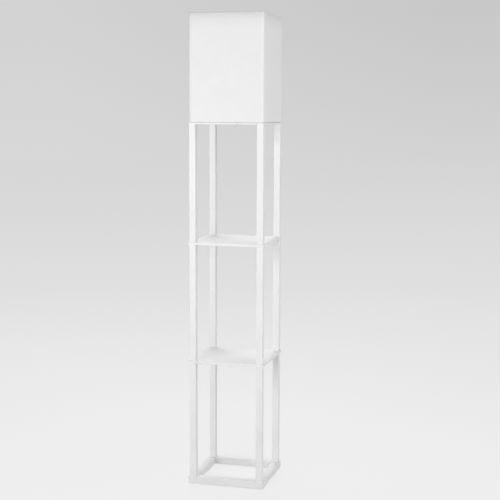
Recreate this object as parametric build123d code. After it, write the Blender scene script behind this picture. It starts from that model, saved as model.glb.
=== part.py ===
"""Shelf floor lamp: three tiers of square posts, two open shelves and a square fabric shade.

Millimetres, +Z up, front towards -Y. The origin is on the floor under the middle of the base.
Every sub-part is one STEP file; identical fasteners share one file as separate solids.
"""
from build123d import *
import math
import os

# --- Overall sizes -------------------------------------------------------------------------
overall_height = 1600.0
post_square = 256.0          # across the outer faces of the posts, and of the shade above them
board_overhang = 4.0         # base and shelves stand proud of the posts on every side

# --- Posts ---------------------------------------------------------------------------------
post_width = 22.0
post_length = 397.0          # lower and middle tiers
upper_post_length = 401.0    # upper tier, up to the shoulder that carries the shade
tenon_height = 14.0          # rebated top of an upper post, inside the shade
post_edge_radius = 1.2

# --- Base and shelves ----------------------------------------------------------------------
pad_diameter = 20.0
pad_thickness = 2.0
pad_chamfer = 0.5
base_rail_height = 25.0
shelf_thickness = 9.0
board_edge_radius = 1.5

# --- Threaded joinery ----------------------------------------------------------------------
thread_diameter = 6.0
thread_clearance = 0.1
through_clearance = 0.5      # on the diameter of a hole that a stud or bolt passes through
insert_diameter = 9.0
insert_length = 13.0
stud_reach = 16.0            # how far a stud or bolt runs into a post
bore_spare = 2.0             # depth left beyond the end of a stud, bolt or dowel
bolt_head_diameter = 10.0
bolt_head_height = 6.0
bolt_head_recess = 2.0       # from the underside of the base to the bolt head
bolt_head_clearance = 1.0    # on the diameter of the counterbore
hex_key = 5.0
hex_depth = 3.0

# --- Dowels --------------------------------------------------------------------------------
dowel_diameter = 5.0
base_dowel_length = 28.0
base_dowel_inset = 6.0       # from the outer face of the base to the dowel's axis
base_dowel_pitch = 11.0
rail_dowel_length = 22.0
rail_dowel_depth = 9.0       # the share of a top-frame dowel that sits in the receiving piece
rail_dowel_stagger = 3.5     # keeps the two dowels in one post apart in height
rail_wall = 1.0              # least wood left behind a crossbar dowel's hole

# --- Top frame -----------------------------------------------------------------------------
rail_drop = 6.0              # how far the top rails show below the shade
rail_lip_play = 0.6          # from the shoulder that carries the shade down to a rail's lip
top_rail_thickness = 12.0    # inside the shade; the lip below it comes out to the posts' face
crossbar_width = 30.0
crossbar_thickness = 12.0
crossbar_dowel_pitch = 16.0

# --- Shade ---------------------------------------------------------------------------------
cover_thickness = 0.6
liner_thickness = 0.8
liner_setback = 3.0          # the liner stops short of each fold of the cover
wire_diameter = 4.0
hem_return = 10.0            # height of the cover folded back inside each wire
shade_corner_radius = 7.0
sharp_corner = 0.2           # an inner corner tighter than this is drawn sharp
shade_fit = 1.0              # between the shade's inner hem and the top frame
shade_seat_gap = 0.2

# --- Lamp holder ---------------------------------------------------------------------------
nipple_diameter = 10.0
nipple_bore = 7.0
nipple_end = 1.0             # thread that shows past the nut
washer_diameter = 20.0
washer_thickness = 1.2
nut_across_flats = 14.0
nut_thickness = 4.0
bushing_flange = 11.5
bushing_flange_thickness = 1.0
bushing_length = 8.0
bushing_wall = 0.9
holder_diameter = 36.0
sheet_wall = 0.6
cap_neck_diameter = 16.0
cap_neck_height = 6.0
cap_dome_height = 14.0
shell_overlap = 5.0          # shell seated inside the rim of the cap
shell_height = 46.0
bead_radius = 1.2            # rolled bead on the shell's open rim
liner_clearance = 0.3
sleeve_thickness = 0.8
switch_body_height = 20.0
screw_shell_bore = 27.0
screw_shell_height = 17.0
contact_width = 6.0
contact_thickness = 0.5
contact_rise = 2.5
terminal_screw_diameter = 5.0
terminal_screw_height = 2.4
terminal_spread = 18.0
terminal_slot = 0.6

# --- Pull switch ---------------------------------------------------------------------------
switch_turn = 15.0           # degrees from the front, where the holder stopped turning
outlet_diameter = 9.0
outlet_bore = 5.2
outlet_gap = 0.8             # between the outlet's mouth and the cap's rim
outlet_drop = 11.0
outlet_mouth = 11.0
outlet_flare = 2.25          # height of the flare at the mouth
chain_bead = 3.2
chain_pitch = 4.2
chain_link = 1.1
chain_tail = 9.0             # chain inside the outlet at rest
knob_diameter = 10.0
knob_height = 14.0
knob_neck = 4.6
knob_lip = 1.0
knob_waist = 8.8             # width across the bell at half its height
knob_hang = 7.5              # how far the knob's tip shows below the top rails

# --- Bulb ----------------------------------------------------------------------------------
bulb_cap_diameter = 26.4
bulb_cap_height = 22.0
bulb_cap_wall = 0.4
bulb_plug_gap = 1.2          # between the cap's wall and the body's plug, where the thread is
bulb_tip_diameter = 9.5
bulb_tip_height = 1.6
bulb_tip_flat = 5.7
bulb_insulator_height = 3.0
bulb_insulator_width = 22.4
bulb_gap = 0.3               # between the bulb and the holder's contact
bulb_body_diameter = 47.0
bulb_body_height = 33.0
bulb_collar = 1.0            # step from the cap out to the body
bulb_globe_diameter = 60.0
bulb_globe_wall = 1.5

# --- Places worked out from the sizes above ------------------------------------------------
post_half = post_square / 2
board_half = post_half + board_overhang
post_inner = post_half - post_width
post_centre = post_half - post_width / 2

base_bottom = pad_thickness
base_top = base_bottom + base_rail_height
lower_shelf_bottom = base_top + post_length
lower_shelf_top = lower_shelf_bottom + shelf_thickness
upper_shelf_bottom = lower_shelf_top + post_length
upper_shelf_top = upper_shelf_bottom + shelf_thickness
shade_seat = upper_shelf_top + upper_post_length

hem_depth = cover_thickness + liner_thickness + wire_diameter + cover_thickness
rebate = hem_depth + shade_fit
top_frame_half = post_half - rebate
top_rail_bottom = shade_seat - rail_drop
top_rail_lip = shade_seat - rail_lip_play
top_frame_top = shade_seat + tenon_height
top_rail_centre = top_frame_half - top_rail_thickness / 2
top_rail_inner = top_frame_half - top_rail_thickness
top_rail_mid = (top_rail_bottom + top_frame_top) / 2
crossbar_bottom = top_frame_top - crossbar_thickness
crossbar_mid = top_frame_top - crossbar_thickness / 2

bore_diameter = thread_diameter + through_clearance
bore_depth = stud_reach + bore_spare

MIN_END = (Align.CENTER, Align.CENTER, Align.MIN)
ALONG = {"x": Rot(0, 90, 0), "y": Rot(-90, 0, 0), "z": Rot(0, 0, 0)}
CORNERS = {
    "front_left": (-1, -1),
    "front_right": (1, -1),
    "back_left": (-1, 1),
    "back_right": (1, 1),
}
nodes = {}


# --- Helpers -------------------------------------------------------------------------------
def block(x, y, z):
    """Box between the two limits given on each axis."""
    size = [high - low for low, high in (x, y, z)]
    middle = [(low + high) / 2 for low, high in (x, y, z)]
    return Pos(*middle) * Box(*size)


def rod(diameter, length, start, axis="z"):
    """Round bar that starts at a point and runs along an axis."""
    return Pos(*start) * ALONG[axis] * Cylinder(diameter / 2, length, align=MIN_END)


def tube(outer, inner, length, start):
    """Upright round tube."""
    return rod(outer, length, start) - rod(inner, length, start)


def eased(part, axis, radius):
    """Round the long edges of a straight piece."""
    return fillet(part.edges().filter_by(axis), radius)


def shade_square(half):
    """Square with the shade's rounded corners, drawn in to a given half width."""
    radius = shade_corner_radius - (post_half - half)
    if radius < sharp_corner:
        return Rectangle(2 * half, 2 * half)
    return RectangleRounded(2 * half, 2 * half, radius)


def square_ring(half, inner_half, low, high):
    """Upright square ring of the shade between two half widths and two heights."""
    return Pos(0, 0, low) * extrude(shade_square(half) - shade_square(inner_half), high - low)


def lathed(outline):
    """Solid of revolution about the lamp's axis, from the lines and arcs of its outline."""
    return revolve(Plane.XZ * make_face(outline), Axis.Z)


def turned(*points):
    """Solid of revolution about the lamp's axis, from its corners as (radius, height)."""
    return lathed(Polyline(*points, close=True))


def group(solids):
    """Identical pieces kept as separate solids under one name."""
    return Compound([solid for piece in solids for solid in piece.solids()])


def at_corners(make):
    """One copy of a piece at each of the four post centres."""
    return [make(sx * post_centre, sy * post_centre) for sx, sy in CORNERS.values()]


# --- Base frame ----------------------------------------------------------------------------
base_rail_inner = board_half - board_overhang - post_width
base_dowel_axis = board_half - base_dowel_inset
base_rail_mid = base_bottom + base_rail_height / 2
base_dowel_heights = [base_rail_mid + side * base_dowel_pitch / 2 for side in (-1, 1)]
bolt_seat = base_bottom + bolt_head_recess + bolt_head_height


def base_dowels(side, diameter, spare):
    """Dowels that join the side rails to the front (-1) or back (1) rail."""
    length = base_dowel_length + 2 * spare
    start = side * base_rail_inner - length / 2
    return [
        rod(diameter, length, (sx * base_dowel_axis, start, height), "y")
        for sx in (-1, 1)
        for height in base_dowel_heights
    ]


def base_bolt_hole(x, y):
    """Counterbored hole for a bolt, from the underside of the base."""
    head = rod(bolt_head_diameter + bolt_head_clearance, bolt_seat - base_bottom, (x, y, base_bottom))
    return head + rod(bore_diameter, base_top - base_bottom, (x, y, base_bottom))


def long_base_rail(side):
    """Front or back rail: full width, with the posts bolted down on its ends."""
    near, far = sorted((side * base_rail_inner, side * board_half))
    rail = block((-board_half, board_half), (near, far), (base_bottom, base_top))
    rail = eased(rail, Axis.X, board_edge_radius)
    for sx in (-1, 1):
        rail -= base_bolt_hole(sx * post_centre, side * post_centre)
    for dowel in base_dowels(side, dowel_diameter, bore_spare):
        rail -= dowel
    return rail


def short_base_rail(side):
    """Left or right rail, butted between the front and back rails."""
    near, far = sorted((side * base_rail_inner, side * board_half))
    span = (-base_rail_inner, base_rail_inner)
    rail = eased(block((near, far), span, (base_bottom, base_top)), Axis.Y, board_edge_radius)
    for end in (-1, 1):
        for dowel in base_dowels(end, dowel_diameter, bore_spare):
            rail -= dowel
    return rail


def base_bolt(x, y):
    """Socket-head bolt, up through the base into a post."""
    head = rod(bolt_head_diameter, bolt_head_height, (x, y, bolt_seat - bolt_head_height))
    shank = rod(thread_diameter, base_top + stud_reach - bolt_seat, (x, y, bolt_seat))
    socket = extrude(RegularPolygon(hex_key / 2, 6, major_radius=False), hex_depth)
    return head + shank - Pos(x, y, bolt_seat - bolt_head_height) * socket


def foot_pad(x, y):
    """Round glide that covers a bolt hole under the base."""
    pad = rod(pad_diameter, pad_thickness, (x, y, 0))
    return chamfer(pad.edges().group_by(Axis.Z)[0], pad_chamfer)


nodes["base_rail_front"] = long_base_rail(-1)
nodes["base_rail_back"] = long_base_rail(1)
nodes["base_rail_left"] = short_base_rail(-1)
nodes["base_rail_right"] = short_base_rail(1)
nodes["base_dowels"] = group(
    dowel for side in (-1, 1) for dowel in base_dowels(side, dowel_diameter, 0)
)
nodes["base_bolts"] = group(at_corners(base_bolt))
nodes["foot_pads"] = group(at_corners(foot_pad))


# --- Posts ---------------------------------------------------------------------------------
def post_bore(x, y, end, up):
    """Bore in a post's end: wide for the threaded insert, then narrow past the stud."""
    wide = rod(insert_diameter, insert_length, (x, y, end if up else end - insert_length))
    return wide + rod(bore_diameter, bore_depth, (x, y, end if up else end - bore_depth))


def threaded_insert(x, y, end, up):
    """Threaded insert, flush with a post's end."""
    start = (x, y, end if up else end - insert_length)
    return tube(insert_diameter, thread_diameter + thread_clearance, insert_length, start)


def post(sx, sy, low, high):
    """Square post between two heights, bored at its foot."""
    x = sorted((sx * post_inner, sx * post_half))
    y = sorted((sy * post_inner, sy * post_half))
    shape = eased(block(x, y, (low, high)), Axis.Z, post_edge_radius)
    return shape - post_bore(sx * post_centre, sy * post_centre, low, True)


def plain_post(sx, sy, low, high):
    """Post of the lower or middle tier, bored at both ends."""
    return post(sx, sy, low, high) - post_bore(sx * post_centre, sy * post_centre, high, False)


def upper_post(sx, sy):
    """Post of the upper tier, rebated inside the shade, with the top rails' dowel holes."""
    shape = post(sx, sy, upper_shelf_top, top_frame_top)
    cut = (shade_seat, top_frame_top)
    wide = (-post_half, post_half)
    shape -= block(sorted((sx * top_frame_half, sx * post_half)), wide, cut)
    shape -= block(wide, sorted((sy * top_frame_half, sy * post_half)), cut)
    for dowel in top_rail_dowels(bore_spare):
        shape -= dowel
    return shape


def joining_stud(x, y, shelf_bottom):
    """Threaded stud that joins the posts below and above a shelf."""
    return rod(thread_diameter, shelf_thickness + 2 * stud_reach, (x, y, shelf_bottom - stud_reach))


# --- Top frame -----------------------------------------------------------------------------
def end_dowel(side, face, across, height, axis, spare=0.0):
    """Dowel at a joint face, rail_dowel_depth beyond it and the rest back towards the middle."""
    length = rail_dowel_length + 2 * spare
    outer = face + rail_dowel_depth + spare
    start = outer - length if side > 0 else -outer
    place = (start, across, height) if axis == "x" else (across, start, height)
    return rod(dowel_diameter, length, place, axis)


def top_rail_dowels(spare=0.0):
    """One dowel at each end of each top rail, into the upper posts."""
    dowels = []
    for side in (-1, 1):
        for across in (-top_rail_centre, top_rail_centre):
            high = top_rail_mid + rail_dowel_stagger
            low = top_rail_mid - rail_dowel_stagger
            dowels.append(end_dowel(side, post_inner, across, high, "x", spare))
            dowels.append(end_dowel(side, post_inner, across, low, "y", spare))
    return dowels


def crossbar_dowels(spare=0.0):
    """Two dowels at each end of the crossbar, into the left and right rails."""
    return [
        end_dowel(side, top_rail_inner, across * crossbar_dowel_pitch / 2, crossbar_mid, "x", spare)
        for side in (-1, 1)
        for across in (-1, 1)
    ]


def top_rail(side, axis):
    """Rail between two upper posts, rebated like them: its lip shows under the shade."""
    deep = sorted((side * top_rail_inner, side * post_half))
    outside = sorted((side * top_frame_half, side * post_half))
    span = (-post_inner, post_inner)
    height = (top_rail_bottom, top_frame_top)
    cut = (top_rail_lip, top_frame_top)
    if axis == "x":
        rail = eased(block(span, deep, height), Axis.X, post_edge_radius)
        rail -= block(span, outside, cut)
    else:
        rail = eased(block(deep, span, height), Axis.Y, post_edge_radius)
        rail -= block(outside, span, cut)
    for dowel in top_rail_dowels(bore_spare):
        rail -= dowel
    return rail


def side_top_rail(side):
    """Left or right rail, which also carries an end of the crossbar."""
    rail = top_rail(side, "y")
    spare = min(bore_spare, top_rail_thickness - rail_dowel_depth - rail_wall)
    for dowel in crossbar_dowels(spare):
        rail -= dowel
    return rail


def crossbar():
    """Bar across the top frame, drilled in the middle for the lamp holder."""
    bar = block(
        (-top_rail_inner, top_rail_inner),
        (-crossbar_width / 2, crossbar_width / 2),
        (crossbar_bottom, top_frame_top),
    )
    bar = eased(bar, Axis.X, post_edge_radius)
    bar -= rod(nipple_diameter + through_clearance, crossbar_thickness, (0, 0, crossbar_bottom))
    for dowel in crossbar_dowels(bore_spare):
        bar -= dowel
    return bar


for corner, (sx, sy) in CORNERS.items():
    nodes["lower_post_" + corner] = plain_post(sx, sy, base_top, lower_shelf_bottom)
    nodes["middle_post_" + corner] = plain_post(sx, sy, lower_shelf_top, upper_shelf_bottom)
    nodes["upper_post_" + corner] = upper_post(sx, sy)

insert_ends = {
    "lower_inserts": [(base_top, True), (lower_shelf_bottom, False)],
    "middle_inserts": [(lower_shelf_top, True), (upper_shelf_bottom, False)],
    "upper_inserts": [(upper_shelf_top, True)],
}
for name, ends in insert_ends.items():
    nodes[name] = group(
        threaded_insert(sx * post_centre, sy * post_centre, end, up)
        for end, up in ends
        for sx, sy in CORNERS.values()
    )


# --- Shelves -------------------------------------------------------------------------------
def shelf(bottom):
    """Square board held between the posts of two tiers, drilled for the studs."""
    edge = (-board_half, board_half)
    board = block(edge, edge, (bottom, bottom + shelf_thickness))
    board = fillet(board.edges(), board_edge_radius)
    for sx, sy in CORNERS.values():
        board -= rod(bore_diameter, shelf_thickness, (sx * post_centre, sy * post_centre, bottom))
    return board


for level, bottom in (("lower", lower_shelf_bottom), ("upper", upper_shelf_bottom)):
    nodes[level + "_shelf"] = shelf(bottom)
    nodes[level + "_studs"] = group(at_corners(lambda x, y: joining_stud(x, y, bottom)))

for name, side in (("front", -1), ("back", 1)):
    nodes["top_rail_" + name] = top_rail(side, "x")
for name, side in (("left", -1), ("right", 1)):
    nodes["top_rail_" + name] = side_top_rail(side)
nodes["top_rail_dowels"] = group(top_rail_dowels())
nodes["crossbar"] = crossbar()
nodes["crossbar_dowels"] = group(crossbar_dowels())


# --- Lamp holder ---------------------------------------------------------------------------
upper_washer_bottom = top_frame_top
cap_bottom = upper_washer_bottom + washer_thickness
cap_shoulder = cap_bottom + cap_neck_height
cap_rim = cap_shoulder + cap_dome_height
shell_bottom = cap_rim - shell_overlap
shell_top = shell_bottom + shell_height
lower_washer_bottom = crossbar_bottom - washer_thickness
nut_bottom = lower_washer_bottom - nut_thickness
nipple_bottom = nut_bottom - nipple_end

shell_radius = holder_diameter / 2
cap_radius = shell_radius + thread_clearance + sheet_wall
shell_bore = shell_radius - sheet_wall
sleeve_radius = shell_bore - liner_clearance
switch_radius = sleeve_radius - sleeve_thickness - liner_clearance
switch_bottom = shell_bottom + sheet_wall
switch_top = switch_bottom + switch_body_height
screw_shell_top = switch_top + screw_shell_height
contact_top = switch_top + contact_rise
outlet_reach = cap_radius + outlet_gap + outlet_mouth / 2
outlet_height = (switch_bottom + switch_top) / 2 + outlet_flare
chain_x = outlet_reach * math.sin(math.radians(switch_turn))
chain_y = -outlet_reach * math.cos(math.radians(switch_turn))


def hex_nut():
    """Nut that clamps the nipple under the crossbar."""
    outline = RegularPolygon(nut_across_flats / 2, 6, major_radius=False)
    outline -= Circle((nipple_diameter + thread_clearance) / 2)
    return Pos(0, 0, nut_bottom) * extrude(outline, nut_thickness)


def washer(bottom):
    """Washer on the nipple, above or below the crossbar."""
    return tube(washer_diameter, nipple_diameter + thread_clearance, washer_thickness, (0, 0, bottom))


def cord_bushing():
    """Flanged bushing in the nipple's lower end, where a lead goes in."""
    outer = (nipple_bore - thread_clearance) / 2
    inner = outer - bushing_wall
    flange_bottom = nipple_bottom - bushing_flange_thickness
    return turned(
        (inner, flange_bottom),
        (bushing_flange / 2, flange_bottom),
        (bushing_flange / 2, nipple_bottom),
        (outer, nipple_bottom),
        (outer, nipple_bottom + bushing_length),
        (inner, nipple_bottom + bushing_length),
    )


def holder_cap():
    """Pressed metal cap: a neck on the washer, a rounded shoulder and a straight rim."""
    neck = cap_neck_diameter / 2
    bore = (nipple_diameter + thread_clearance) / 2
    round_outside = cap_radius - neck
    centre = cap_shoulder + round_outside
    outline = Polyline((neck, cap_shoulder), (neck, cap_bottom), (bore, cap_bottom),
                       (bore, cap_shoulder + sheet_wall), (neck, cap_shoulder + sheet_wall))
    outline += CenterArc((neck, centre), round_outside - sheet_wall, -90, 90)
    outline += Polyline((cap_radius - sheet_wall, centre), (cap_radius - sheet_wall, cap_rim),
                        (cap_radius, cap_rim), (cap_radius, centre))
    outline += CenterArc((neck, centre), round_outside, -90, 90)
    return lathed(outline)


def outlet_bar(diameter):
    """Round bar along the chain outlet's neck, from the lamp's axis out to the chain."""
    turn = Pos(0, 0, outlet_height) * Rot(0, 0, switch_turn) * Rot(90, 0, 0)
    return turn * Cylinder(diameter / 2, outlet_reach, align=MIN_END)


def holder_shell():
    """Shell round the switch and screw shell, with a rolled rim and the outlet's hole."""
    shell = tube(holder_diameter, 2 * shell_bore, shell_height, (0, 0, shell_bottom))
    bead = revolve(Plane.XZ * Pos(shell_radius, shell_top) * Circle(bead_radius), Axis.Z)
    bead -= rod(2 * shell_bore, 4 * bead_radius, (0, 0, shell_top - 2 * bead_radius))
    return shell + bead - outlet_bar(outlet_diameter + thread_clearance)


def insulating_sleeve():
    """Fibre sleeve between the shell and the live parts."""
    inner = 2 * (sleeve_radius - sleeve_thickness)
    length = shell_height - bead_radius - sheet_wall
    sleeve = tube(2 * sleeve_radius, inner, length, (0, 0, switch_bottom))
    return sleeve - outlet_bar(outlet_diameter + thread_clearance)


def terminal_places():
    """Two screw places on the underside of the switch body."""
    return [(side * terminal_spread / 2, 0, switch_bottom) for side in (-1, 1)]


def switch_body():
    """Moulded body that holds the switch, the screw shell and the centre contact."""
    body = rod(2 * switch_radius, switch_body_height, (0, 0, switch_bottom))
    for place in terminal_places():
        body -= rod(terminal_screw_diameter + through_clearance, terminal_screw_height, place)
    return body - outlet_bar(outlet_diameter - 2 * sheet_wall)


def terminal_screws():
    """Slotted heads of the two terminal screws."""
    screws = []
    for x, y, z in terminal_places():
        slot = Pos(x, y, z) * Box(terminal_screw_diameter, terminal_slot, 2 * terminal_slot)
        screws.append(rod(terminal_screw_diameter, terminal_screw_height, (x, y, z)) - slot)
    return screws


def screw_shell():
    """Threaded metal shell that takes the bulb, on a flat foot."""
    inner = screw_shell_bore / 2
    outer = inner + sheet_wall
    return turned(
        (bulb_tip_diameter / 2 + sheet_wall, switch_top),
        (outer, switch_top),
        (outer, screw_shell_top),
        (inner, screw_shell_top),
        (inner, switch_top + sheet_wall),
        (bulb_tip_diameter / 2 + sheet_wall, switch_top + sheet_wall),
    )


def centre_contact():
    """Springy tongue under the bulb's tip, folded up from a small foot."""
    foot = (-contact_width / 2, contact_width / 2)
    base = block(foot, foot, (switch_top, switch_top + contact_thickness))
    riser = block(
        (-contact_width / 2, -contact_width / 2 + contact_thickness), foot, (switch_top, contact_top)
    )
    tongue = block(foot, foot, (contact_top - contact_thickness, contact_top))
    return base + riser + tongue


def chain_outlet():
    """Elbow from the switch: a neck through the shell and a mouth that faces down."""
    mouth = (chain_x, chain_y, outlet_height - outlet_drop)
    switch = rod(2 * switch_radius, switch_body_height, (0, 0, switch_bottom))
    neck = outlet_bar(outlet_diameter) - switch
    down = rod(outlet_diameter, outlet_drop + outlet_diameter / 2, mouth)
    flare = Cone(outlet_mouth / 2, outlet_diameter / 2, outlet_flare, align=MIN_END)
    elbow = neck + down + Pos(*mouth) * flare
    return elbow - rod(outlet_bore, outlet_drop + outlet_flare, mouth)


nodes["holder_nipple"] = tube(
    nipple_diameter, nipple_bore, cap_shoulder - nipple_bottom, (0, 0, nipple_bottom)
)
nodes["holder_washers"] = group([washer(upper_washer_bottom), washer(lower_washer_bottom)])
nodes["holder_nut"] = hex_nut()
nodes["cord_bushing"] = cord_bushing()
nodes["holder_cap"] = holder_cap()
nodes["holder_shell"] = holder_shell()
nodes["insulating_sleeve"] = insulating_sleeve()
nodes["switch_body"] = switch_body()
nodes["terminal_screws"] = group(terminal_screws())
nodes["screw_shell"] = screw_shell()
nodes["centre_contact"] = centre_contact()
nodes["chain_outlet"] = chain_outlet()


# --- Pull chain ----------------------------------------------------------------------------
knob_bottom = top_rail_bottom - knob_hang
knob_top = knob_bottom + knob_height
chain_top = outlet_height - outlet_drop + chain_tail


def pull_chain():
    """Bead chain: round beads at a steady pitch on a thin link wire."""
    count = int((chain_top - knob_top) // chain_pitch)
    chain = rod(chain_link, chain_top - knob_top, (chain_x, chain_y, knob_top))
    for index in range(count + 1):
        height = chain_top - index * chain_pitch
        chain += Pos(chain_x, chain_y, height) * Sphere(chain_bead / 2)
    return chain


def pull_knob():
    """Small bell-shaped knob that ends the chain."""
    radius = knob_diameter / 2
    outline = Polyline((knob_neck / 2, knob_height), (0, knob_height), (0, 0),
                       (radius - knob_lip, 0), (radius, knob_lip), (radius, 2 * knob_lip))
    outline += ThreePointArc(
        (radius, 2 * knob_lip), (knob_waist / 2, knob_height / 2), (knob_neck / 2, knob_height)
    )
    return Pos(chain_x, chain_y, knob_bottom) * lathed(outline)


nodes["pull_knob"] = pull_knob()
nodes["pull_chain"] = pull_chain() - nodes["pull_knob"]


# --- Bulb ----------------------------------------------------------------------------------
tip_bottom = contact_top + bulb_gap
insulator_bottom = tip_bottom + bulb_tip_height
bulb_cap_bottom = insulator_bottom + bulb_insulator_height
bulb_cap_top = bulb_cap_bottom + bulb_cap_height
body_top = bulb_cap_top + bulb_body_height
globe_centre = body_top + math.sqrt(bulb_globe_diameter**2 - bulb_body_diameter**2) / 2


def bulb_contact():
    """Tip contact, narrower at its foot."""
    return turned(
        (0, tip_bottom),
        (bulb_tip_flat / 2, tip_bottom),
        (bulb_tip_diameter / 2, insulator_bottom),
        (0, insulator_bottom),
    )


def bulb_insulator():
    """Insulating cone between the tip and the threaded cap."""
    return turned(
        (0, insulator_bottom),
        (bulb_tip_diameter / 2, insulator_bottom),
        (bulb_insulator_width / 2, bulb_cap_bottom),
        (0, bulb_cap_bottom),
    )


def bulb_cap():
    """Metal screw cap."""
    bore = bulb_cap_diameter - 2 * bulb_cap_wall
    return tube(bulb_cap_diameter, bore, bulb_cap_height, (0, 0, bulb_cap_bottom))


def bulb_body():
    """Moulded body: a plug inside the cap and a flared housing under the globe."""
    plug = bulb_cap_diameter / 2 - bulb_cap_wall - bulb_plug_gap
    collar = bulb_cap_diameter / 2 + bulb_collar
    top = bulb_body_diameter / 2
    outline = Polyline((top, body_top), (0, body_top), (0, bulb_cap_bottom),
                       (plug, bulb_cap_bottom), (plug, bulb_cap_top), (collar, bulb_cap_top))
    flare = ((collar + top) / 2 - bulb_collar, (bulb_cap_top + body_top) / 2 + bulb_collar)
    outline += ThreePointArc((collar, bulb_cap_top), flare, (top, body_top))
    return lathed(outline)


def bulb_globe():
    """Opal globe: a hollow sphere cut flat where it meets the body."""
    globe = Pos(0, 0, globe_centre) * Sphere(bulb_globe_diameter / 2)
    globe -= Pos(0, 0, globe_centre) * Sphere(bulb_globe_diameter / 2 - bulb_globe_wall)
    below = rod(2 * bulb_globe_diameter, bulb_globe_diameter, (0, 0, body_top - bulb_globe_diameter))
    return globe - below


nodes["bulb_contact"] = bulb_contact()
nodes["bulb_insulator"] = bulb_insulator()
nodes["bulb_cap"] = bulb_cap()
nodes["bulb_body"] = bulb_body()
nodes["bulb_globe"] = bulb_globe()


# --- Shade ---------------------------------------------------------------------------------
shade_bottom = shade_seat + shade_seat_gap
cover_inner = post_half - cover_thickness
liner_inner = cover_inner - liner_thickness
wire_half = liner_inner - wire_diameter / 2
hem_outer = liner_inner - wire_diameter
hem_inner = hem_outer - cover_thickness


def shade_cover():
    """Fabric tube, folded over the wires at both ends and back inside."""
    cover = square_ring(post_half, cover_inner, shade_bottom, overall_height)
    for fold, inside in (
        (shade_bottom, shade_bottom + hem_return),
        (overall_height - cover_thickness, overall_height - hem_return),
    ):
        cover += square_ring(post_half, hem_inner, fold, fold + cover_thickness)
        low, high = sorted((inside, fold + cover_thickness / 2))
        cover += square_ring(hem_outer, hem_inner, low, high)
    return cover


def shade_liner():
    """Stiff plastic sheet bonded inside the fabric."""
    low = shade_bottom + liner_setback
    high = overall_height - liner_setback
    return square_ring(cover_inner, liner_inner, low, high)


def shade_wire(height):
    """Square frame of round wire with bent corners."""
    path = shade_square(wire_half).wire()
    start = path @ 0
    profile = Plane(origin=start, z_dir=path % 0) * Circle(wire_diameter / 2)
    return Pos(0, 0, height) * sweep(profile, path)


nodes["shade_cover"] = shade_cover()
nodes["shade_liner"] = shade_liner()
nodes["shade_bottom_wire"] = shade_wire(shade_bottom + cover_thickness + wire_diameter / 2)
nodes["shade_top_wire"] = shade_wire(overall_height - cover_thickness - wire_diameter / 2)

# --- Write one STEP file per sub-part ------------------------------------------------------
os.makedirs("parts", exist_ok=True)
for name, shape in nodes.items():
    export_step(shape, f"parts/{name}.step")
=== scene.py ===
"""Looks of the shelf floor lamp: white lacquered wood, two shelves and a white cloth shade.

Metres in Blender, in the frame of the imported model; sizes below are written in millimetres.
"""
import math

import bmesh
import bpy
from mathutils import Euler, Matrix, Vector, noise


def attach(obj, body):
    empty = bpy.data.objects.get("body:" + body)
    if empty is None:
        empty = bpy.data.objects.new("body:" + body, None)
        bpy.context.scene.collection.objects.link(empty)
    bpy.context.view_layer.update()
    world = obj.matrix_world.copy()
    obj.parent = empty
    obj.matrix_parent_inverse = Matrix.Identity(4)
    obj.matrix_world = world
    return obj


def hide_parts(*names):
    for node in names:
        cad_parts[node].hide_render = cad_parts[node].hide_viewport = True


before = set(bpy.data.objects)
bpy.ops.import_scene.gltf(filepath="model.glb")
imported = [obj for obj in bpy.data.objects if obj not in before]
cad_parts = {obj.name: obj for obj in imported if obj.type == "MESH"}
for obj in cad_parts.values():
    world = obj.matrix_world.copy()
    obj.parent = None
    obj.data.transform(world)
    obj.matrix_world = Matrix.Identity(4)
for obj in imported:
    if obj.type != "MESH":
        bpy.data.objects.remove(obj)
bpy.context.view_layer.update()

scene = bpy.context.scene
scene.view_settings.view_transform = "Standard"
mm = 0.001


# --- Camera ----------------------------------------------------------------------------------
# It stands four metres off, a little to the right of the lamp's front and at four fifths of its
# height, and looks slightly down, so that the right side and the shelf tops show.
camera_place, focal_length = (1.080, -3.8486, 1.2926), 84.03
look_down, turned_left, roll = math.radians(6.998), math.radians(14.986), math.radians(0.206)

lens_data = bpy.data.cameras.new("camera")
lens_data.lens = focal_length
camera = bpy.data.objects.new("camera", lens_data)
scene.collection.objects.link(camera)
camera.location = camera_place
looking = Euler((math.pi / 2 - look_down, 0, turned_left)).to_matrix()
camera.rotation_euler = (looking @ Matrix.Rotation(roll, 3, "Z")).to_euler()
scene.camera = camera


# --- Base frame ------------------------------------------------------------------------------
# Four rails of fibreboard, 25 mm high, dowelled into a square and sprayed with a white satin
# lacquer. The lacquer is smooth to the hand, and only its orange peel and a trace of the
# board's long fibres show in a grazing light.
def linear(colour):
    """sRGB hex colour as linear red, green, blue and alpha."""
    parts = [int(colour[i:i + 2], 16) / 255 for i in (1, 3, 5)]
    return [c / 12.92 if c <= 0.04045 else ((c + 0.055) / 1.055) ** 2.4 for c in parts] + [1.0]


def add(tree, kind, inputs=(), stops=(), **settings):
    """Adds a shader node with its settings, sets or links its inputs, and gives a colour ramp
    its stops of (position, sRGB hex)."""
    node = tree.nodes.new("ShaderNode" + kind)
    for name, value in settings.items():
        setattr(node, name, value)
    for name, value in dict(inputs).items():
        if isinstance(value, bpy.types.NodeSocket):
            tree.links.new(value, node.inputs[name])
        else:
            node.inputs[name].default_value = value
    if stops:
        elements = node.color_ramp.elements
        while len(elements) < len(stops):
            elements.new(0.5)
        for element, (position, colour) in zip(elements, stops):
            element.position = position
        for element, (position, colour) in zip(elements, stops):
            element.color = linear(colour)
    return node


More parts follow.
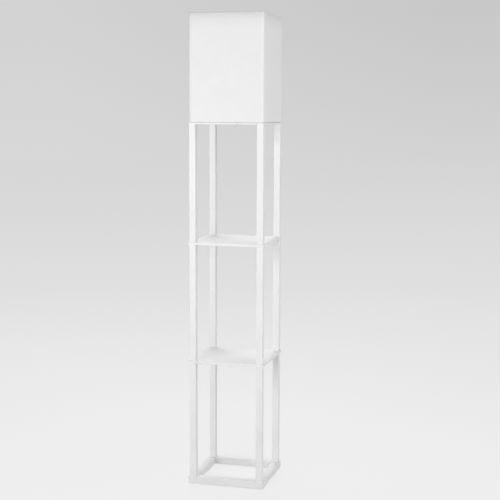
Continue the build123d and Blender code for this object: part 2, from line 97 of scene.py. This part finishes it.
def new_finish(name, **constants):
    """A material with one Principled shader; constants are its sockets, with _ for a space."""
    material = bpy.data.materials.new(name)
    material.use_nodes = True
    tree = material.node_tree
    shader = tree.nodes["Principled BSDF"]
    for socket, value in constants.items():
        shader.inputs[socket.replace("_", " ")].default_value = value
    place = add(tree, "TexCoord").outputs["Object"]
    return material, tree, shader, place


def dress(material, *names):
    """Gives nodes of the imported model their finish."""
    for name in names:
        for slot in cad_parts[name].material_slots:
            slot.material = material


def satin_lacquer(name, along):
    """White satin lacquer over wood whose fibres run along one axis (0, 1 or 2)."""
    peel_size, fibre_width, fibre_length, cloud_size = 1.4 * mm, 2.5 * mm, 160 * mm, 110 * mm
    material, tree, shader, place = new_finish(
        name, IOR=1.5, Coat_Weight=0.15, Coat_Roughness=0.35, Coat_IOR=1.5)
    stretch = [1 / fibre_width] * 3
    stretch[along] = 1 / fibre_length
    fibres = add(tree, "TexNoise", {
        "Vector": add(tree, "Mapping", {"Vector": place, "Scale": stretch}).outputs["Vector"],
        "Scale": 1.0, "Detail": 5.0, "Roughness": 0.6})
    peel = add(tree, "TexNoise", {"Vector": place, "Scale": 1 / peel_size, "Detail": 2.0})
    clouds = add(tree, "TexNoise", {"Vector": place, "Scale": 1 / cloud_size, "Detail": 3.0})
    tint = add(tree, "ValToRGB", {"Fac": clouds.outputs["Fac"]},
               stops=((0.3, "#E8E8E8"), (0.7, "#EDEDED")))
    shade_of_fibres = add(tree, "MapRange", {
        "Value": fibres.outputs["Fac"], "From Min": 0.3, "From Max": 0.7,
        "To Min": 0.985, "To Max": 1.0})
    colour = add(tree, "VectorMath", {0: tint.outputs["Color"],
                                      "Scale": shade_of_fibres.outputs["Result"]},
                 operation="SCALE")
    gloss = add(tree, "MapRange", {
        "Value": clouds.outputs["Fac"], "From Min": 0.3, "From Max": 0.7,
        "To Min": 0.44, "To Max": 0.54})
    fibre_bump = add(tree, "Bump", {"Height": fibres.outputs["Fac"], "Strength": 0.35,
                                    "Distance": 0.06 * mm})
    peel_bump = add(tree, "Bump", {"Height": peel.outputs["Fac"], "Strength": 0.3,
                                   "Distance": 0.05 * mm, "Normal": fibre_bump.outputs["Normal"]})
    tree.links.new(colour.outputs["Vector"], shader.inputs["Base Color"])
    tree.links.new(gloss.outputs["Result"], shader.inputs["Roughness"])
    tree.links.new(peel_bump.outputs["Normal"], shader.inputs["Normal"])
    return material


lacquer_across = satin_lacquer("satin_lacquer_fibres_left_to_right", 0)
lacquer_deep = satin_lacquer("satin_lacquer_fibres_front_to_back", 1)
dress(lacquer_across, "base_rail_front", "base_rail_back")
dress(lacquer_deep, "base_rail_left", "base_rail_right")


# --- Base dowels, bolts and pads -------------------------------------------------------------
# Beech dowels hold the rails together and zinc-plated socket bolts pull the lower posts down
# onto them. A grey rubber pad, stuck over each bolt hole, carries the lamp.
def vary(tree, shader, pattern, dark, light, span=(0.0, 1.0), gloss=None, bump=None):
    """Lets a noise vary a finish over a span of its values: the colour between two tones, the
    roughness between two values of gloss, and the surface by a bump of (strength, depth)."""
    low, high = span
    value = pattern.outputs["Fac"]
    tint = add(tree, "ValToRGB", {"Fac": value}, stops=((low, dark), (high, light)))
    tree.links.new(tint.outputs["Color"], shader.inputs["Base Color"])
    if gloss:
        rough = add(tree, "MapRange", {"Value": value, "From Min": low, "From Max": high,
                                       "To Min": gloss[0], "To Max": gloss[1]})
        tree.links.new(rough.outputs["Result"], shader.inputs["Roughness"])
    if bump:
        raised = add(tree, "Bump", {"Height": value, "Strength": bump[0], "Distance": bump[1]})
        tree.links.new(raised.outputs["Normal"], shader.inputs["Normal"])


# Turned beech: pale brown and matt, with fine darker grain along it.
beech, tree, shader, place = new_finish("beech_dowel", Roughness=0.6)
grain = (900, 60, 900)       # how often the grain repeats in a metre, across and along
rings = add(tree, "TexNoise", {
    "Vector": add(tree, "Mapping", {"Vector": place, "Scale": grain}).outputs["Vector"],
    "Scale": 1.0, "Detail": 4.0})
vary(tree, shader, rings, "#C49B6C", "#DFC197", span=(0.3, 0.7), bump=(0.4, 0.1 * mm))
dress(beech, "base_dowels", "top_rail_dowels", "crossbar_dowels")


def plated_metal(name, light, dark, roughness, spot):
    """A plated or pressed metal whose cloudy plating varies over spots of a size in metres."""
    material, tree, shader, place = new_finish(name, Metallic=1.0)
    cloud = add(tree, "TexNoise", {"Vector": place, "Scale": 1 / spot, "Detail": 4.0})
    vary(tree, shader, cloud, dark, light, span=(0.3, 0.7),
         gloss=(roughness - 0.05, roughness + 0.07))
    fine = add(tree, "TexNoise", {"Vector": place, "Scale": 1 / (0.5 * mm), "Detail": 2.0})
    bump = add(tree, "Bump", {"Height": fine.outputs["Fac"], "Strength": 0.12,
                              "Distance": 0.02 * mm})
    tree.links.new(bump.outputs["Normal"], shader.inputs["Normal"])
    return material


# Bright zinc on turned steel: a cold grey, half blurred mirror with faint clouds. Drawn brass:
# the same in a warm yellow.
zinc_plate = plated_metal("bright_zinc_plate", "#D3D6D9", "#B9BDC2", 0.3, 3 * mm)
dress(zinc_plate, "base_bolts", "lower_studs", "upper_studs", "holder_washers",
      "shade_top_wire", "shade_bottom_wire", "terminal_screws")
brass_metal = plated_metal("drawn_brass", "#DDB76C", "#C79B50", 0.28, 4 * mm)
dress(brass_metal, "lower_inserts", "middle_inserts", "upper_inserts", "centre_contact",
      "bulb_contact")

# Moulded rubber: dull grey, with a fine grit.
rubber, tree, shader, place = new_finish("grey_rubber", Roughness=0.8)
grit = add(tree, "TexNoise", {"Vector": place, "Scale": 1 / (0.8 * mm), "Detail": 3.0})
vary(tree, shader, grit, "#B5B5B3", "#C6C6C4", bump=(0.5, 0.08 * mm))
dress(rubber, "foot_pads")


# --- Posts -----------------------------------------------------------------------------------
# Twelve square posts, 22 mm, in three tiers. The fibres of the wood run up them, and the
# lacquer rounds their long edges a little.
lacquer_upright = satin_lacquer("satin_lacquer_fibres_upright", 2)
for tier in ("lower", "middle", "upper"):
    for corner in ("front_left", "front_right", "back_left", "back_right"):
        dress(lacquer_upright, f"{tier}_post_{corner}")


# --- Shelves ---------------------------------------------------------------------------------
# Two square boards, 9 mm thick, clamped between the tiers of posts and lacquered on all sides.
dress(lacquer_across, "lower_shelf", "upper_shelf")


# --- Top frame -------------------------------------------------------------------------------
# Four thin rails between the tops of the upper posts and a bar across them, which carries the
# lamp holder. The shade drops over them, and a narrow strip of the rails shows under its hem.
dress(lacquer_across, "top_rail_front", "top_rail_back", "crossbar")
dress(lacquer_deep, "top_rail_left", "top_rail_right")


# --- Fixing of the lamp holder ---------------------------------------------------------------
# A threaded steel nipple runs up through the crossbar, with a washer each side and a hex nut
# below, and a white plastic bushing in its lower end takes the edge off the tube.
def thread_wall(radius, depth, pitch, low, high, steps=48):
    """A rounded right-hand thread between two heights, as an open wall in millimetres. Its
    crests pass the +X side at whole pitches, so that a cap's thread runs in its socket's."""
    work = bmesh.new()
    points = 8
    start = (low // pitch - 1) * pitch
    line = [work.verts.new((radius + depth / 2 * math.cos(2 * math.pi * i / points), 0,
                            start + pitch * i / points)) for i in range(points + 1)]
    edges = [work.edges.new(pair) for pair in zip(line, line[1:])]
    turns = math.ceil((high - start) / pitch)
    bmesh.ops.spin(work, geom=line + edges, cent=(0, 0, 0), axis=(0, 0, 1),
                   angle=2 * math.pi * turns, dvec=(0, 0, pitch / steps), steps=steps * turns)
    bmesh.ops.remove_doubles(work, verts=work.verts, dist=0.01)
    for height, side in ((low, -1), (high, 1)):
        bmesh.ops.bisect_plane(work, geom=work.verts[:] + work.edges[:] + work.faces[:],
                               plane_co=(0, 0, height), plane_no=(0, 0, side), clear_outer=True)
    return work


def carry_on(work, height, *rings):
    """Draws a wall on from its open edge at one height, through rings of (radius, height)."""
    edges = [edge for edge in work.edges if edge.is_boundary
             and all(abs(vert.co.z - height) < 0.01 for vert in edge.verts)]
    for radius, level in rings:
        grown = bmesh.ops.extrude_edge_only(work, edges=edges)["geom"]
        verts = {part for part in grown if isinstance(part, bmesh.types.BMVert)}
        edges = list({edge for vert in verts for edge in vert.link_edges
                      if edge.other_vert(vert) in verts})
        for vert in verts:
            across = radius / math.hypot(vert.co.x, vert.co.y)
            vert.co = (vert.co.x * across, vert.co.y * across, level)


def piece_from(name, work, body, slot, material, *replaced, smooth=40):
    """Turns a finished bmesh, in millimetres, into a piece that rides on a body."""
    bmesh.ops.scale(work, vec=(mm, mm, mm), verts=work.verts)
    data = bpy.data.meshes.new(name)
    work.to_mesh(data)
    work.free()
    data.materials.append(material)
    data.shade_smooth()
    data.set_sharp_from_angle(angle=math.radians(smooth))
    piece = bpy.data.objects.new(name, data)
    scene.collection.objects.link(piece)
    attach(piece, body)
    if replaced:
        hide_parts(*replaced)
    return piece


nipple_bottom, nipple_top, nipple_radius, nipple_bore = 1235.8, 1261.2, 5.0, 3.5
nipple_thread, nipple_pitch = 0.6, 1.0
nipple = thread_wall(nipple_radius - nipple_thread / 2, nipple_thread, nipple_pitch,
                     nipple_bottom, nipple_top)
for end in (nipple_bottom, nipple_top):
    carry_on(nipple, end, (nipple_bore, end), (nipple_bore, (nipple_bottom + nipple_top) / 2))
bmesh.ops.remove_doubles(nipple, verts=nipple.verts, dist=0.01)
bmesh.ops.recalc_face_normals(nipple, faces=nipple.faces)
piece_from("threaded_nipple", nipple, "frame", "zinc_steel", zinc_plate, "holder_nipple")

nut_bottom, nut_top, nut_flats, nut_hole = 1236.8, 1240.8, 14.0, 5.05
nut_chamfer, nut_face = 0.8, 1.6
nut = bmesh.new()
bmesh.ops.create_circle(nut, cap_ends=True, segments=6,
                        radius=nut_flats / 2 / math.cos(math.pi / 6),
                        matrix=Matrix.Translation((0, 0, nut_bottom)))
upper = bmesh.ops.extrude_face_region(nut, geom=nut.faces[:])["geom"]
bmesh.ops.translate(nut, vec=(0, 0, nut_top - nut_bottom),
                    verts=[part for part in upper if isinstance(part, bmesh.types.BMVert)])
bmesh.ops.bevel(nut, geom=nut.verts[:], offset=nut_chamfer, affect="VERTICES", segments=3,
                profile=0.5, material=-1)
bmesh.ops.inset_individual(nut, faces=[f for f in nut.faces if abs(f.normal.z) > 0.9],
                           thickness=nut_face)
ends = [f for f in nut.faces if abs(f.normal.z) > 0.9 and len(f.verts) > 4]
for face in ends:
    for vert in face.verts:
        across = nut_hole / math.hypot(vert.co.x, vert.co.y)
        vert.co.x, vert.co.y = vert.co.x * across, vert.co.y * across
rims = [edge for face in ends for edge in face.edges]
bmesh.ops.delete(nut, geom=ends, context="FACES_ONLY")
bmesh.ops.bridge_loops(nut, edges=rims)
bmesh.ops.recalc_face_normals(nut, faces=nut.faces)
piece_from("hex_nut", nut, "frame", "zinc_steel", zinc_plate, "holder_nut", smooth=25)

# Moulded plastic: an even soft white with broad highlights and a faint pebble from the mould.
even_scatter = (1, 1, 1)     # white plastics scatter red, green and blue light equally far
white_plastic, tree, shader, place = new_finish(
    "white_moulded_plastic", IOR=1.5, Subsurface_Weight=0.15, Subsurface_Scale=0.5 * mm,
    Subsurface_Radius=even_scatter)
mould = add(tree, "TexNoise", {"Vector": place, "Scale": 1 / (0.9 * mm), "Detail": 2.0})
vary(tree, shader, mould, "#EFEFED", "#F5F5F4", gloss=(0.24, 0.36), bump=(0.2, 0.03 * mm))
dress(white_plastic, "cord_bushing")


# --- Lamp holder -----------------------------------------------------------------------------
# A pressed steel cap and shell, satin nickel plated, snapped one into the other. The shell has
# a rolled bead round its rim and hides a fibre sleeve, a black moulded switch body with two
# terminal screws, and the brass screw shell that takes the bulb.
# Satin nickel on pressed steel: a warm grey mirror, blurred a little all over.
nickel = plated_metal("satin_nickel_plate", "#D3D0CA", "#CCC9C2", 0.26, 14 * mm)
dress(nickel, "holder_cap", "holder_shell", "chain_outlet")

# Vulcanised fibre: matt tan board, felted when seen close.
fibre, tree, shader, place = new_finish("vulcanised_fibre", Roughness=0.7)
felted = add(tree, "TexNoise", {"Vector": place, "Scale": 1 / (1.2 * mm), "Detail": 5.0,
                                "Roughness": 0.7})
vary(tree, shader, felted, "#A98A5C", "#C4A778", span=(0.3, 0.7), bump=(0.4, 0.06 * mm))
dress(fibre, "insulating_sleeve")

# Moulded phenolic: brownish black, half glossy, with the filler's flecks in it.
phenolic, tree, shader, place = new_finish("black_moulded_phenolic", IOR=1.6)
filler = add(tree, "TexNoise", {"Vector": place, "Scale": 1 / (0.6 * mm), "Detail": 4.0})
vary(tree, shader, filler, "#242220", "#383431", gloss=(0.22, 0.42))
dress(phenolic, "switch_body")

thread_pitch, thread_depth, socket_radius = 3.6, 0.9, 13.2
socket_foot, socket_rim, wall, plain_end = 1290.8, 1307.8, 0.4, 1.0
socket_outside, socket_opening = 13.7, 5.4
socket = thread_wall(socket_radius, thread_depth, thread_pitch, socket_foot + plain_end,
                     socket_rim - plain_end)
carry_on(socket, socket_foot + plain_end, (socket_outside, socket_foot + wall),
         (socket_opening, socket_foot + wall))
carry_on(socket, socket_rim - plain_end, (socket_outside, socket_rim - wall),
         (socket_outside, socket_rim))
bmesh.ops.recalc_face_normals(socket, faces=socket.faces)
bmesh.ops.solidify(socket, geom=socket.faces[:], thickness=-wall)
bmesh.ops.recalc_face_normals(socket, faces=socket.faces)
piece_from("threaded_screw_shell", socket, "frame", "brass", brass_metal, "screw_shell")


# --- Pull chain ------------------------------------------------------------------------------
# Nickel-plated hollow beads on short dumbbell links, out of the holder's downward mouth, and a
# small white bell-shaped knob crimped on the last bead.
dress(nickel, "pull_chain")
dress(white_plastic, "pull_knob")


# --- Bulb ------------------------------------------------------------------------------------
# A plain bulb with an opal plastic globe on a white moulded body. Its aluminium cap is rolled
# with the holder's thread, and a black glass cone sets the brass tip contact apart.
# Rolled aluminium: a light grey, soft mirror.
aluminium = plated_metal("rolled_aluminium", "#DEDFE1", "#CBCDD0", 0.32, 5 * mm)
cap_low, cap_high, cap_radius, thread_play = 1298.2, 1320.2, 12.9, 0.45
thread_low, thread_high = cap_low + 2.4, cap_high - 4
cap = thread_wall(socket_radius - thread_play, thread_depth, thread_pitch, thread_low, thread_high)
carry_on(cap, thread_low, (12.2, cap_low + 1.2), (11.0, cap_low), (9.0, cap_low))
carry_on(cap, thread_high, (cap_radius, cap_high - 3.4), (cap_radius, cap_high), (10.0, cap_high))
bmesh.ops.recalc_face_normals(cap, faces=cap.faces)
piece_from("threaded_bulb_cap", cap, "bulb", "cap_metal", aluminium, "bulb_cap")

# Pressed black glass: deep and glossy, with faint swirls.
black_glass, tree, shader, place = new_finish("black_bulb_glass", IOR=1.52, Coat_Weight=0.3)
swirl = add(tree, "TexNoise", {"Vector": place, "Scale": 1 / (2 * mm), "Detail": 3.0})
vary(tree, shader, swirl, "#17171B", "#2A2A31", gloss=(0.06, 0.2))
dress(black_glass, "bulb_insulator")
dress(white_plastic, "bulb_body")

# Moulded opal plastic: milky, because light goes into it and evens out its shading.
opal, tree, shader, place = new_finish(
    "opal_diffuser", IOR=1.58, Subsurface_Weight=0.5, Subsurface_Scale=4 * mm,
    Subsurface_Radius=even_scatter, Coat_Weight=0.3, Coat_Roughness=0.15)
haze = add(tree, "TexNoise", {"Vector": place, "Scale": 1 / (14 * mm), "Detail": 4.0})
vary(tree, shader, haze, "#F0EFEA", "#F6F6F3", gloss=(0.3, 0.42))
dress(opal, "bulb_globe")


# --- Shade -----------------------------------------------------------------------------------
# White plain-weave cloth bonded to a stiff translucent sheet. Its ends are folded over two
# square wire frames and glued down inside, and its side edges lap in one upright seam at the
# back. It drops over the top frame and rests on the shoulders of the posts.
shade_half, shade_bottom, shade_top, corner_round = 128.0, 1240.2, 1600.0, 7.0
cloth_thickness, fold_depth, hem_return, seam_lap = 0.6, 6.0, 10.0, 12.0
sheet_lets_through, cloth_lets_through = 0.3, 0.06      # shares of the light

# Drawn plastic sheet: smooth and white, with faint upright lines, and light shines through it.
sheet_plastic, tree, shader, place = new_finish(
    "translucent_white_sheet", IOR=1.55, Subsurface_Weight=0.1, Subsurface_Scale=1 * mm,
    Subsurface_Radius=even_scatter)
drawing_lines = (400, 400, 12)      # how often they repeat in a metre: across, deep and up
drawn = add(tree, "TexNoise", {
    "Vector": add(tree, "Mapping", {"Vector": place, "Scale": drawing_lines}).outputs["Vector"],
    "Scale": 1.0, "Detail": 4.0})
vary(tree, shader, drawn, "#F1F1F0", "#F6F6F5", gloss=(0.35, 0.5))
glow = add(tree, "BsdfTranslucent", {"Color": linear("#F6F6F5")})
through = add(tree, "MixShader", {0: sheet_lets_through, 1: shader.outputs["BSDF"],
                                  2: glow.outputs["BSDF"]})
tree.links.new(through.outputs["Shader"], tree.nodes["Material Output"].inputs["Surface"])
dress(sheet_plastic, "shade_liner")

# Woven cloth: matt white with thicker threads here and there, and a little light comes through
# it. Its real threads lie 0.5 mm apart, and are drawn 1 mm apart so that they show.
thread_gap, slub_length, slub_width, cloud_size = 1.0 * mm, 26 * mm, 1.6 * mm, 45 * mm
cloth, tree, shader, place = new_finish(
    "white_plain_weave", Roughness=0.85, Sheen_Weight=0.25, Sheen_Roughness=0.5)
flat = add(tree, "TexCoord").outputs["UV"]
warp = add(tree, "TexWave", {"Vector": flat, "Scale": math.pi / 10 / thread_gap},
           bands_direction="X")
weft = add(tree, "TexWave", {"Vector": flat, "Scale": math.pi / 10 / thread_gap},
           bands_direction="Y")
over = add(tree, "TexChecker", {"Vector": flat, "Scale": 1 / thread_gap})
weave = add(tree, "Mix", {0: over.outputs["Fac"], 2: warp.outputs["Fac"], 3: weft.outputs["Fac"]})
slubs_across = add(tree, "TexNoise", {
    "Vector": add(tree, "Mapping", {"Vector": flat, "Scale": (1 / slub_length, 1 / slub_width, 1)}
                  ).outputs["Vector"], "Scale": 1.0, "Detail": 3.0})
slubs_up = add(tree, "TexNoise", {
    "Vector": add(tree, "Mapping", {"Vector": flat, "Scale": (1 / slub_width, 1 / slub_length, 1)}
                  ).outputs["Vector"], "Scale": 1.0, "Detail": 3.0})
slubs = add(tree, "Mix", {0: 0.5, 2: slubs_across.outputs["Fac"], 3: slubs_up.outputs["Fac"]})
clouds = add(tree, "TexNoise", {"Vector": place, "Scale": 1 / cloud_size, "Detail": 3.0})
tint = add(tree, "ValToRGB", {"Fac": clouds.outputs["Fac"]},
           stops=((0.3, "#F7F7F7"), (0.7, "#F9F9F9")))
yarn = add(tree, "MapRange", {"Value": slubs.outputs[0], "From Min": 0.35, "From Max": 0.65,
                              "To Min": 0.97, "To Max": 1.0})
# Painted shade: the cloth's colour is darkened towards the upper fold, so the top of the shade is
# painted darker than the rest.
level = add(tree, "SeparateXYZ", {0: place}).outputs["Z"]
painted_top_shade = add(tree, "ValToRGB", {"Fac": add(tree, "MapRange", {
    "Value": level, "From Min": shade_bottom * mm, "From Max": shade_top * mm}
    ).outputs["Result"]})
painted_top_shade.color_ramp.elements[0].color = (1, 1, 1, 1)
painted_top_shade.color_ramp.elements[1].color = (0.84, 0.84, 0.84, 1)
for position, value in ((0.86, 0.99), (0.93, 0.95), (0.958, 0.9), (0.983, 0.85)):
    painted_top_shade.color_ramp.elements.new(position).color = (value, value, value, 1)
colour = add(tree, "VectorMath", {0: tint.outputs["Color"], "Scale": yarn.outputs["Result"]},
             operation="SCALE")
# The cloth's colour is multiplied by the painted shade towards the top.
colour = add(tree, "VectorMath", {0: colour.outputs["Vector"], 1: painted_top_shade.outputs["Color"]},
             operation="MULTIPLY")
yarn_bump = add(tree, "Bump", {"Height": slubs.outputs[0], "Strength": 0.5,
                               "Distance": 0.1 * mm})
weave_bump = add(tree, "Bump", {"Height": weave.outputs[0], "Strength": 0.5,
                                "Distance": 0.12 * mm, "Normal": yarn_bump.outputs["Normal"]})
tree.links.new(colour.outputs["Vector"], shader.inputs["Base Color"])
tree.links.new(weave_bump.outputs["Normal"], shader.inputs["Normal"])
glow = add(tree, "BsdfTranslucent", {"Color": colour.outputs["Vector"],
                                     "Normal": weave_bump.outputs["Normal"]})
through = add(tree, "MixShader", {0: cloth_lets_through, 1: shader.outputs["BSDF"],
                                  2: glow.outputs["BSDF"]})
tree.links.new(through.outputs["Shader"], tree.nodes["Material Output"].inputs["Surface"])


def lay_flat(work, around, along, width):
    """Gives cloth its UV map, in metres: how far each point is round the cloth and along it."""
    layer = work.loops.layers.uv.new("cloth")
    for face in work.faces:
        far = max(loop.vert[around] for loop in face.loops) > 0.75 * width
        for loop in face.loops:
            u = loop.vert[around]
            loop[layer].uv = ((u + width if far and u < 0.25 * width else u) * mm,
                              loop.vert[along] * mm)


middle_half = shade_half - cloth_thickness / 2
core = shade_half - corner_round
cover = bmesh.new()
around = cover.verts.layers.float.new("around")
along = cover.verts.layers.float.new("along")
bmesh.ops.create_grid(cover, x_segments=1, y_segments=1, size=middle_half)
bmesh.ops.bevel(cover, geom=cover.verts[:], offset=corner_round - cloth_thickness / 2,
                affect="VERTICES", segments=6, profile=0.5, material=-1)
bmesh.ops.delete(cover, geom=cover.faces[:], context="FACES_ONLY")
bmesh.ops.subdivide_edges(cover, edges=[e for e in cover.edges if e.calc_length() > 50], cuts=23)
cover.verts.ensure_lookup_table()
ring, vert, edge = [], cover.verts[0], None
while vert not in ring:
    edge = next(e for e in vert.link_edges if e != edge)
    vert[around] = (ring[-1][around] + (vert.co - ring[-1].co).length) if ring else 0.0
    ring.append(vert)
    vert = edge.other_vert(vert)
cloth_width = ring[-1][around] + (ring[0].co - ring[-1].co).length


def out_of_corner(point):
    """The direction straight out of the shade's side at a point of it."""
    nearest = Vector((max(-core, min(core, point.x)), max(-core, min(core, point.y)), 0))
    return (Vector((point.x, point.y, 0)) - nearest).normalized()


# The cloth's path, as (depth inwards from its outside, height): up inside the lower wire, over
# it, up the outside, over the upper wire and back down inside.
turn = (fold_depth - cloth_thickness) / 2
low, high = shade_bottom + cloth_thickness / 2, shade_top - cloth_thickness / 2
path = [(2 * turn, shade_bottom + hem_return), (2 * turn, low + turn + 3)]
path += [(turn + turn * math.cos(math.pi * i / 8), low + turn - turn * math.sin(math.pi * i / 8))
         for i in range(9)]
rise = high - low - 2 * turn
path += [(0.0, low + turn + rise * i / 36) for i in range(1, 36)]
path += [(turn - turn * math.cos(math.pi * i / 8), high - turn + turn * math.sin(math.pi * i / 8))
         for i in range(9)]
path += [(2 * turn, high - turn - 3), (2 * turn, shade_top - hem_return)]

# Between the wires the cloth stands off its sheet by up to a quarter of a millimetre, from 12 mm
# inside each wire on and in full 40 mm farther.
stand_off, held_by_wire, freed_over, ripple_size = 0.25, 12.0, 40.0, 70.0
cloth_length = 0.0
rings = [(vert, vert.co.copy(), out_of_corner(vert.co)) for vert in ring]
edges = cover.edges[:]
for step, (depth, height) in enumerate(path):
    if step:
        cloth_length += math.dist(path[step - 1], (depth, height))
        grown = bmesh.ops.extrude_edge_only(cover, edges=edges)["geom"]
        new = {part for part in grown if isinstance(part, bmesh.types.BMVert)}
        edges = list({e for vert in new for e in vert.link_edges if e.other_vert(vert) in new})
        follow = {e.other_vert(vert): vert for vert in new for e in vert.link_edges
                  if e.other_vert(vert) not in new}
        rings = [(follow[vert], at, out) for vert, at, out in rings]
    from_wire = min(height - low, high - height) - held_by_wire
    free = max(0.0, min(1.0, from_wire / freed_over)) * (depth == 0)
    for vert, at, out in rings:
        ripple = 0.5 + 0.5 * noise.noise(Vector((at.x, at.y, height)) / ripple_size)
        vert.co = at - out * (depth - stand_off * free * ripple)
        vert.co.z = height
        vert[along] = cloth_length
lay_flat(cover, around, along, cloth_width)
bmesh.ops.recalc_face_normals(cover, faces=cover.faces)
shade_cloth = piece_from("shade_cloth", cover, "shade", "shade_fabric", cloth, "shade_cover",
                         smooth=60)
thickness = shade_cloth.modifiers.new("cloth_thickness", "SOLIDIFY")
thickness.thickness, thickness.offset = cloth_thickness * mm, 0

# The seam: the cloth's outer edge, pressed down along one side, stops 3 mm short of each fold.
seam_end, seam_lies_out, edge_step, seam_wave, wave_length = 3.0, 0.12, 0.25, 0.12, 50.0
lap = bmesh.new()
around = lap.verts.layers.float.new("around")
along = lap.verts.layers.float.new("along")
bmesh.ops.create_grid(lap, x_segments=3, y_segments=40, size=0.5)
for vert in lap.verts:
    vert[around] = (vert.co.x + 0.5) * seam_lap
    vert[along] = (vert.co.y + 0.5) * (high - low - 2 * seam_end)
    raised = edge_step if vert.co.x > -0.3 else 0.0
    wave = seam_wave * noise.noise(Vector((0, 0, vert[along] / wave_length)))
    vert.co = (-core + vert[around] + wave, shade_half + seam_lies_out + raised,
               low + seam_end + vert[along])
lay_flat(lap, around, along, seam_lap * 4)
bmesh.ops.recalc_face_normals(lap, faces=lap.faces)
seam = piece_from("shade_seam", lap, "shade", "shade_fabric", cloth)
thickness = seam.modifiers.new("cloth_thickness", "SOLIDIFY")
thickness.thickness, thickness.offset = 0.4 * mm, 0


# --- Studio ----------------------------------------------------------------------------------
# A pale seamless floor, its colour painted lightest round the lamp as a painted pool of light,
# that runs out into a pale backdrop painted darker upwards and to the right as painted shade, and
# soft
# light: a lamp at the front left, a larger one at the right, a high one behind, a weak one at the
# back left, and a dim even sky.
def straight_to_the_eye(tree):
    """1 for rays that the eye sees straight, in a reflection or through glass, 0 for light."""
    ray = add(tree, "LightPath").outputs
    either = add(tree, "Math", {0: ray["Is Camera Ray"], 1: ray["Is Glossy Ray"]},
                 operation="MAXIMUM")
    return add(tree, "Math", {0: either.outputs[0], 1: ray["Is Transmission Ray"]},
               operation="MAXIMUM").outputs[0]


floor_radius, floor_fades_from, shadow_reach = 30.0, 10.0, 4.0
floor_below_pads = 0.2 * mm
floor_work = bmesh.new()
bmesh.ops.create_circle(floor_work, cap_ends=True, cap_tris=True, segments=96,
                        radius=floor_radius, matrix=Matrix.Translation((0, 0, -floor_below_pads)))
floor_mesh = bpy.data.meshes.new("floor")
floor_work.to_mesh(floor_mesh)
floor_work.free()
floor = bpy.data.objects.new("floor", floor_mesh)
scene.collection.objects.link(floor)
paper = bpy.data.materials.new("studio_paper")
paper.use_nodes = True
tree = paper.node_tree
tree.nodes.clear()
place = add(tree, "TexCoord").outputs["Object"]
far = add(tree, "VectorMath", {0: place}, operation="LENGTH").outputs["Value"]
share = add(tree, "Math", {0: far, 1: floor_radius}, operation="DIVIDE").outputs[0]
root = add(tree, "Math", {0: share, 1: 0.5}, operation="POWER").outputs[0]
# Painted pool of light: the floor's colour is lightest round the lamp and darker farther out.
tone = add(tree, "ValToRGB", {"Fac": root}, stops=(
    (0.0, "#F3F3F3"), (0.17, "#F1F1F1"), (0.21, "#EEEEEE"), (0.26, "#EAEAEA"), (0.32, "#E5E5E5"),
    (0.38, "#E0E0E0"), (0.46, "#DDDDDD"), (0.56, "#DADADA"), (0.72, "#D7D7D7"),
    (1.0, "#D4D4D4"))).outputs["Color"]
eye = straight_to_the_eye(tree)
plain = add(tree, "MapRange", {"Value": far, "From Min": 0.0, "From Max": shadow_reach,
                               "To Min": 0.85, "To Max": 1.0},
            interpolation_type="SMOOTHSTEP").outputs["Result"]
plain = add(tree, "Math", {0: plain, 1: eye}, operation="MULTIPLY").outputs[0]
lit = add(tree, "BsdfDiffuse", {"Color": linear("#E6E6E6")})
shown = add(tree, "Emission", {"Color": tone, "Strength": 1.0})
both = add(tree, "MixShader", {0: plain, 1: lit.outputs[0], 2: shown.outputs[0]})
gone = add(tree, "MapRange", {"Value": far, "From Min": floor_fades_from,
                              "From Max": floor_radius - 2}).outputs["Result"]
clear = add(tree, "BsdfTransparent")
both = add(tree, "MixShader", {0: gone, 1: both.outputs[0], 2: clear.outputs[0]})
add(tree, "OutputMaterial", {"Surface": both.outputs[0]})
floor_mesh.materials.append(paper)

sky = bpy.data.worlds.new("sky")
scene.world = sky
sky.use_nodes = True
tree = sky.node_tree
tree.nodes.clear()
direction = add(tree, "TexCoord").outputs["Generated"]
height = add(tree, "SeparateXYZ", {0: direction}).outputs["Z"]
rise = add(tree, "MapRange", {"Value": height, "From Min": -0.08, "From Max": 0.08}).outputs[0]
# Painted shade on the backdrop: its colour is darker upwards and on the +X side, the right of the
# view.
left = add(tree, "ValToRGB", {"Fac": rise},
           stops=((0.0, "#D9D9D9"), (0.5, "#D6D6D6"), (1.0, "#D2D2D2"))).outputs["Color"]
right = add(tree, "ValToRGB", {"Fac": rise},
            stops=((0.0, "#D7D7D7"), (0.5, "#CFCFCF"), (1.0, "#C8C8C8"))).outputs["Color"]
across = add(tree, "VectorMath", {0: direction, 1: (0.966, 0.259, 0)}, operation="DOT_PRODUCT")
across = add(tree, "MapRange", {"Value": across.outputs["Value"], "From Min": -0.16,
                                "From Max": 0.16}).outputs["Result"]
tone = add(tree, "Mix", {0: across, 6: left, 7: right}, data_type="RGBA").outputs[2]
shown = add(tree, "Background", {"Color": tone, "Strength": 1.0})
lights = add(tree, "Background", {"Color": linear("#FFFFFF"), "Strength": 0.15})
both = add(tree, "MixShader", {0: straight_to_the_eye(tree), 1: lights.outputs[0],
                               2: shown.outputs[0]})
add(tree, "OutputWorld", {"Surface": both.outputs[0]})


def softbox(name, place, aim, size, power):
    """A square studio lamp that faces a point, of a size in metres and a power in watts."""
    data = bpy.data.lights.new(name, "AREA")
    data.shape, data.size, data.energy = "SQUARE", size, power
    lamp = bpy.data.objects.new(name, data)
    scene.collection.objects.link(lamp)
    lamp.location = place
    lamp.rotation_euler = (Vector(aim) - Vector(place)).to_track_quat("-Z", "Y").to_euler()


softbox("key_lamp", (-0.9, -2.5, 1.3), (0, 0, 1.0), 1.4, 40)
softbox("right_lamp", (2.2, -0.7, 1.6), (0, 0, 1.0), 3.0, 44)
softbox("back_lamp", (-0.9, 2.4, 3.4), (0, 0, 0.8), 2.6, 76)
softbox("left_lamp", (-2.6, 2.0, 1.5), (0, 0, 1.0), 1.8, 20)
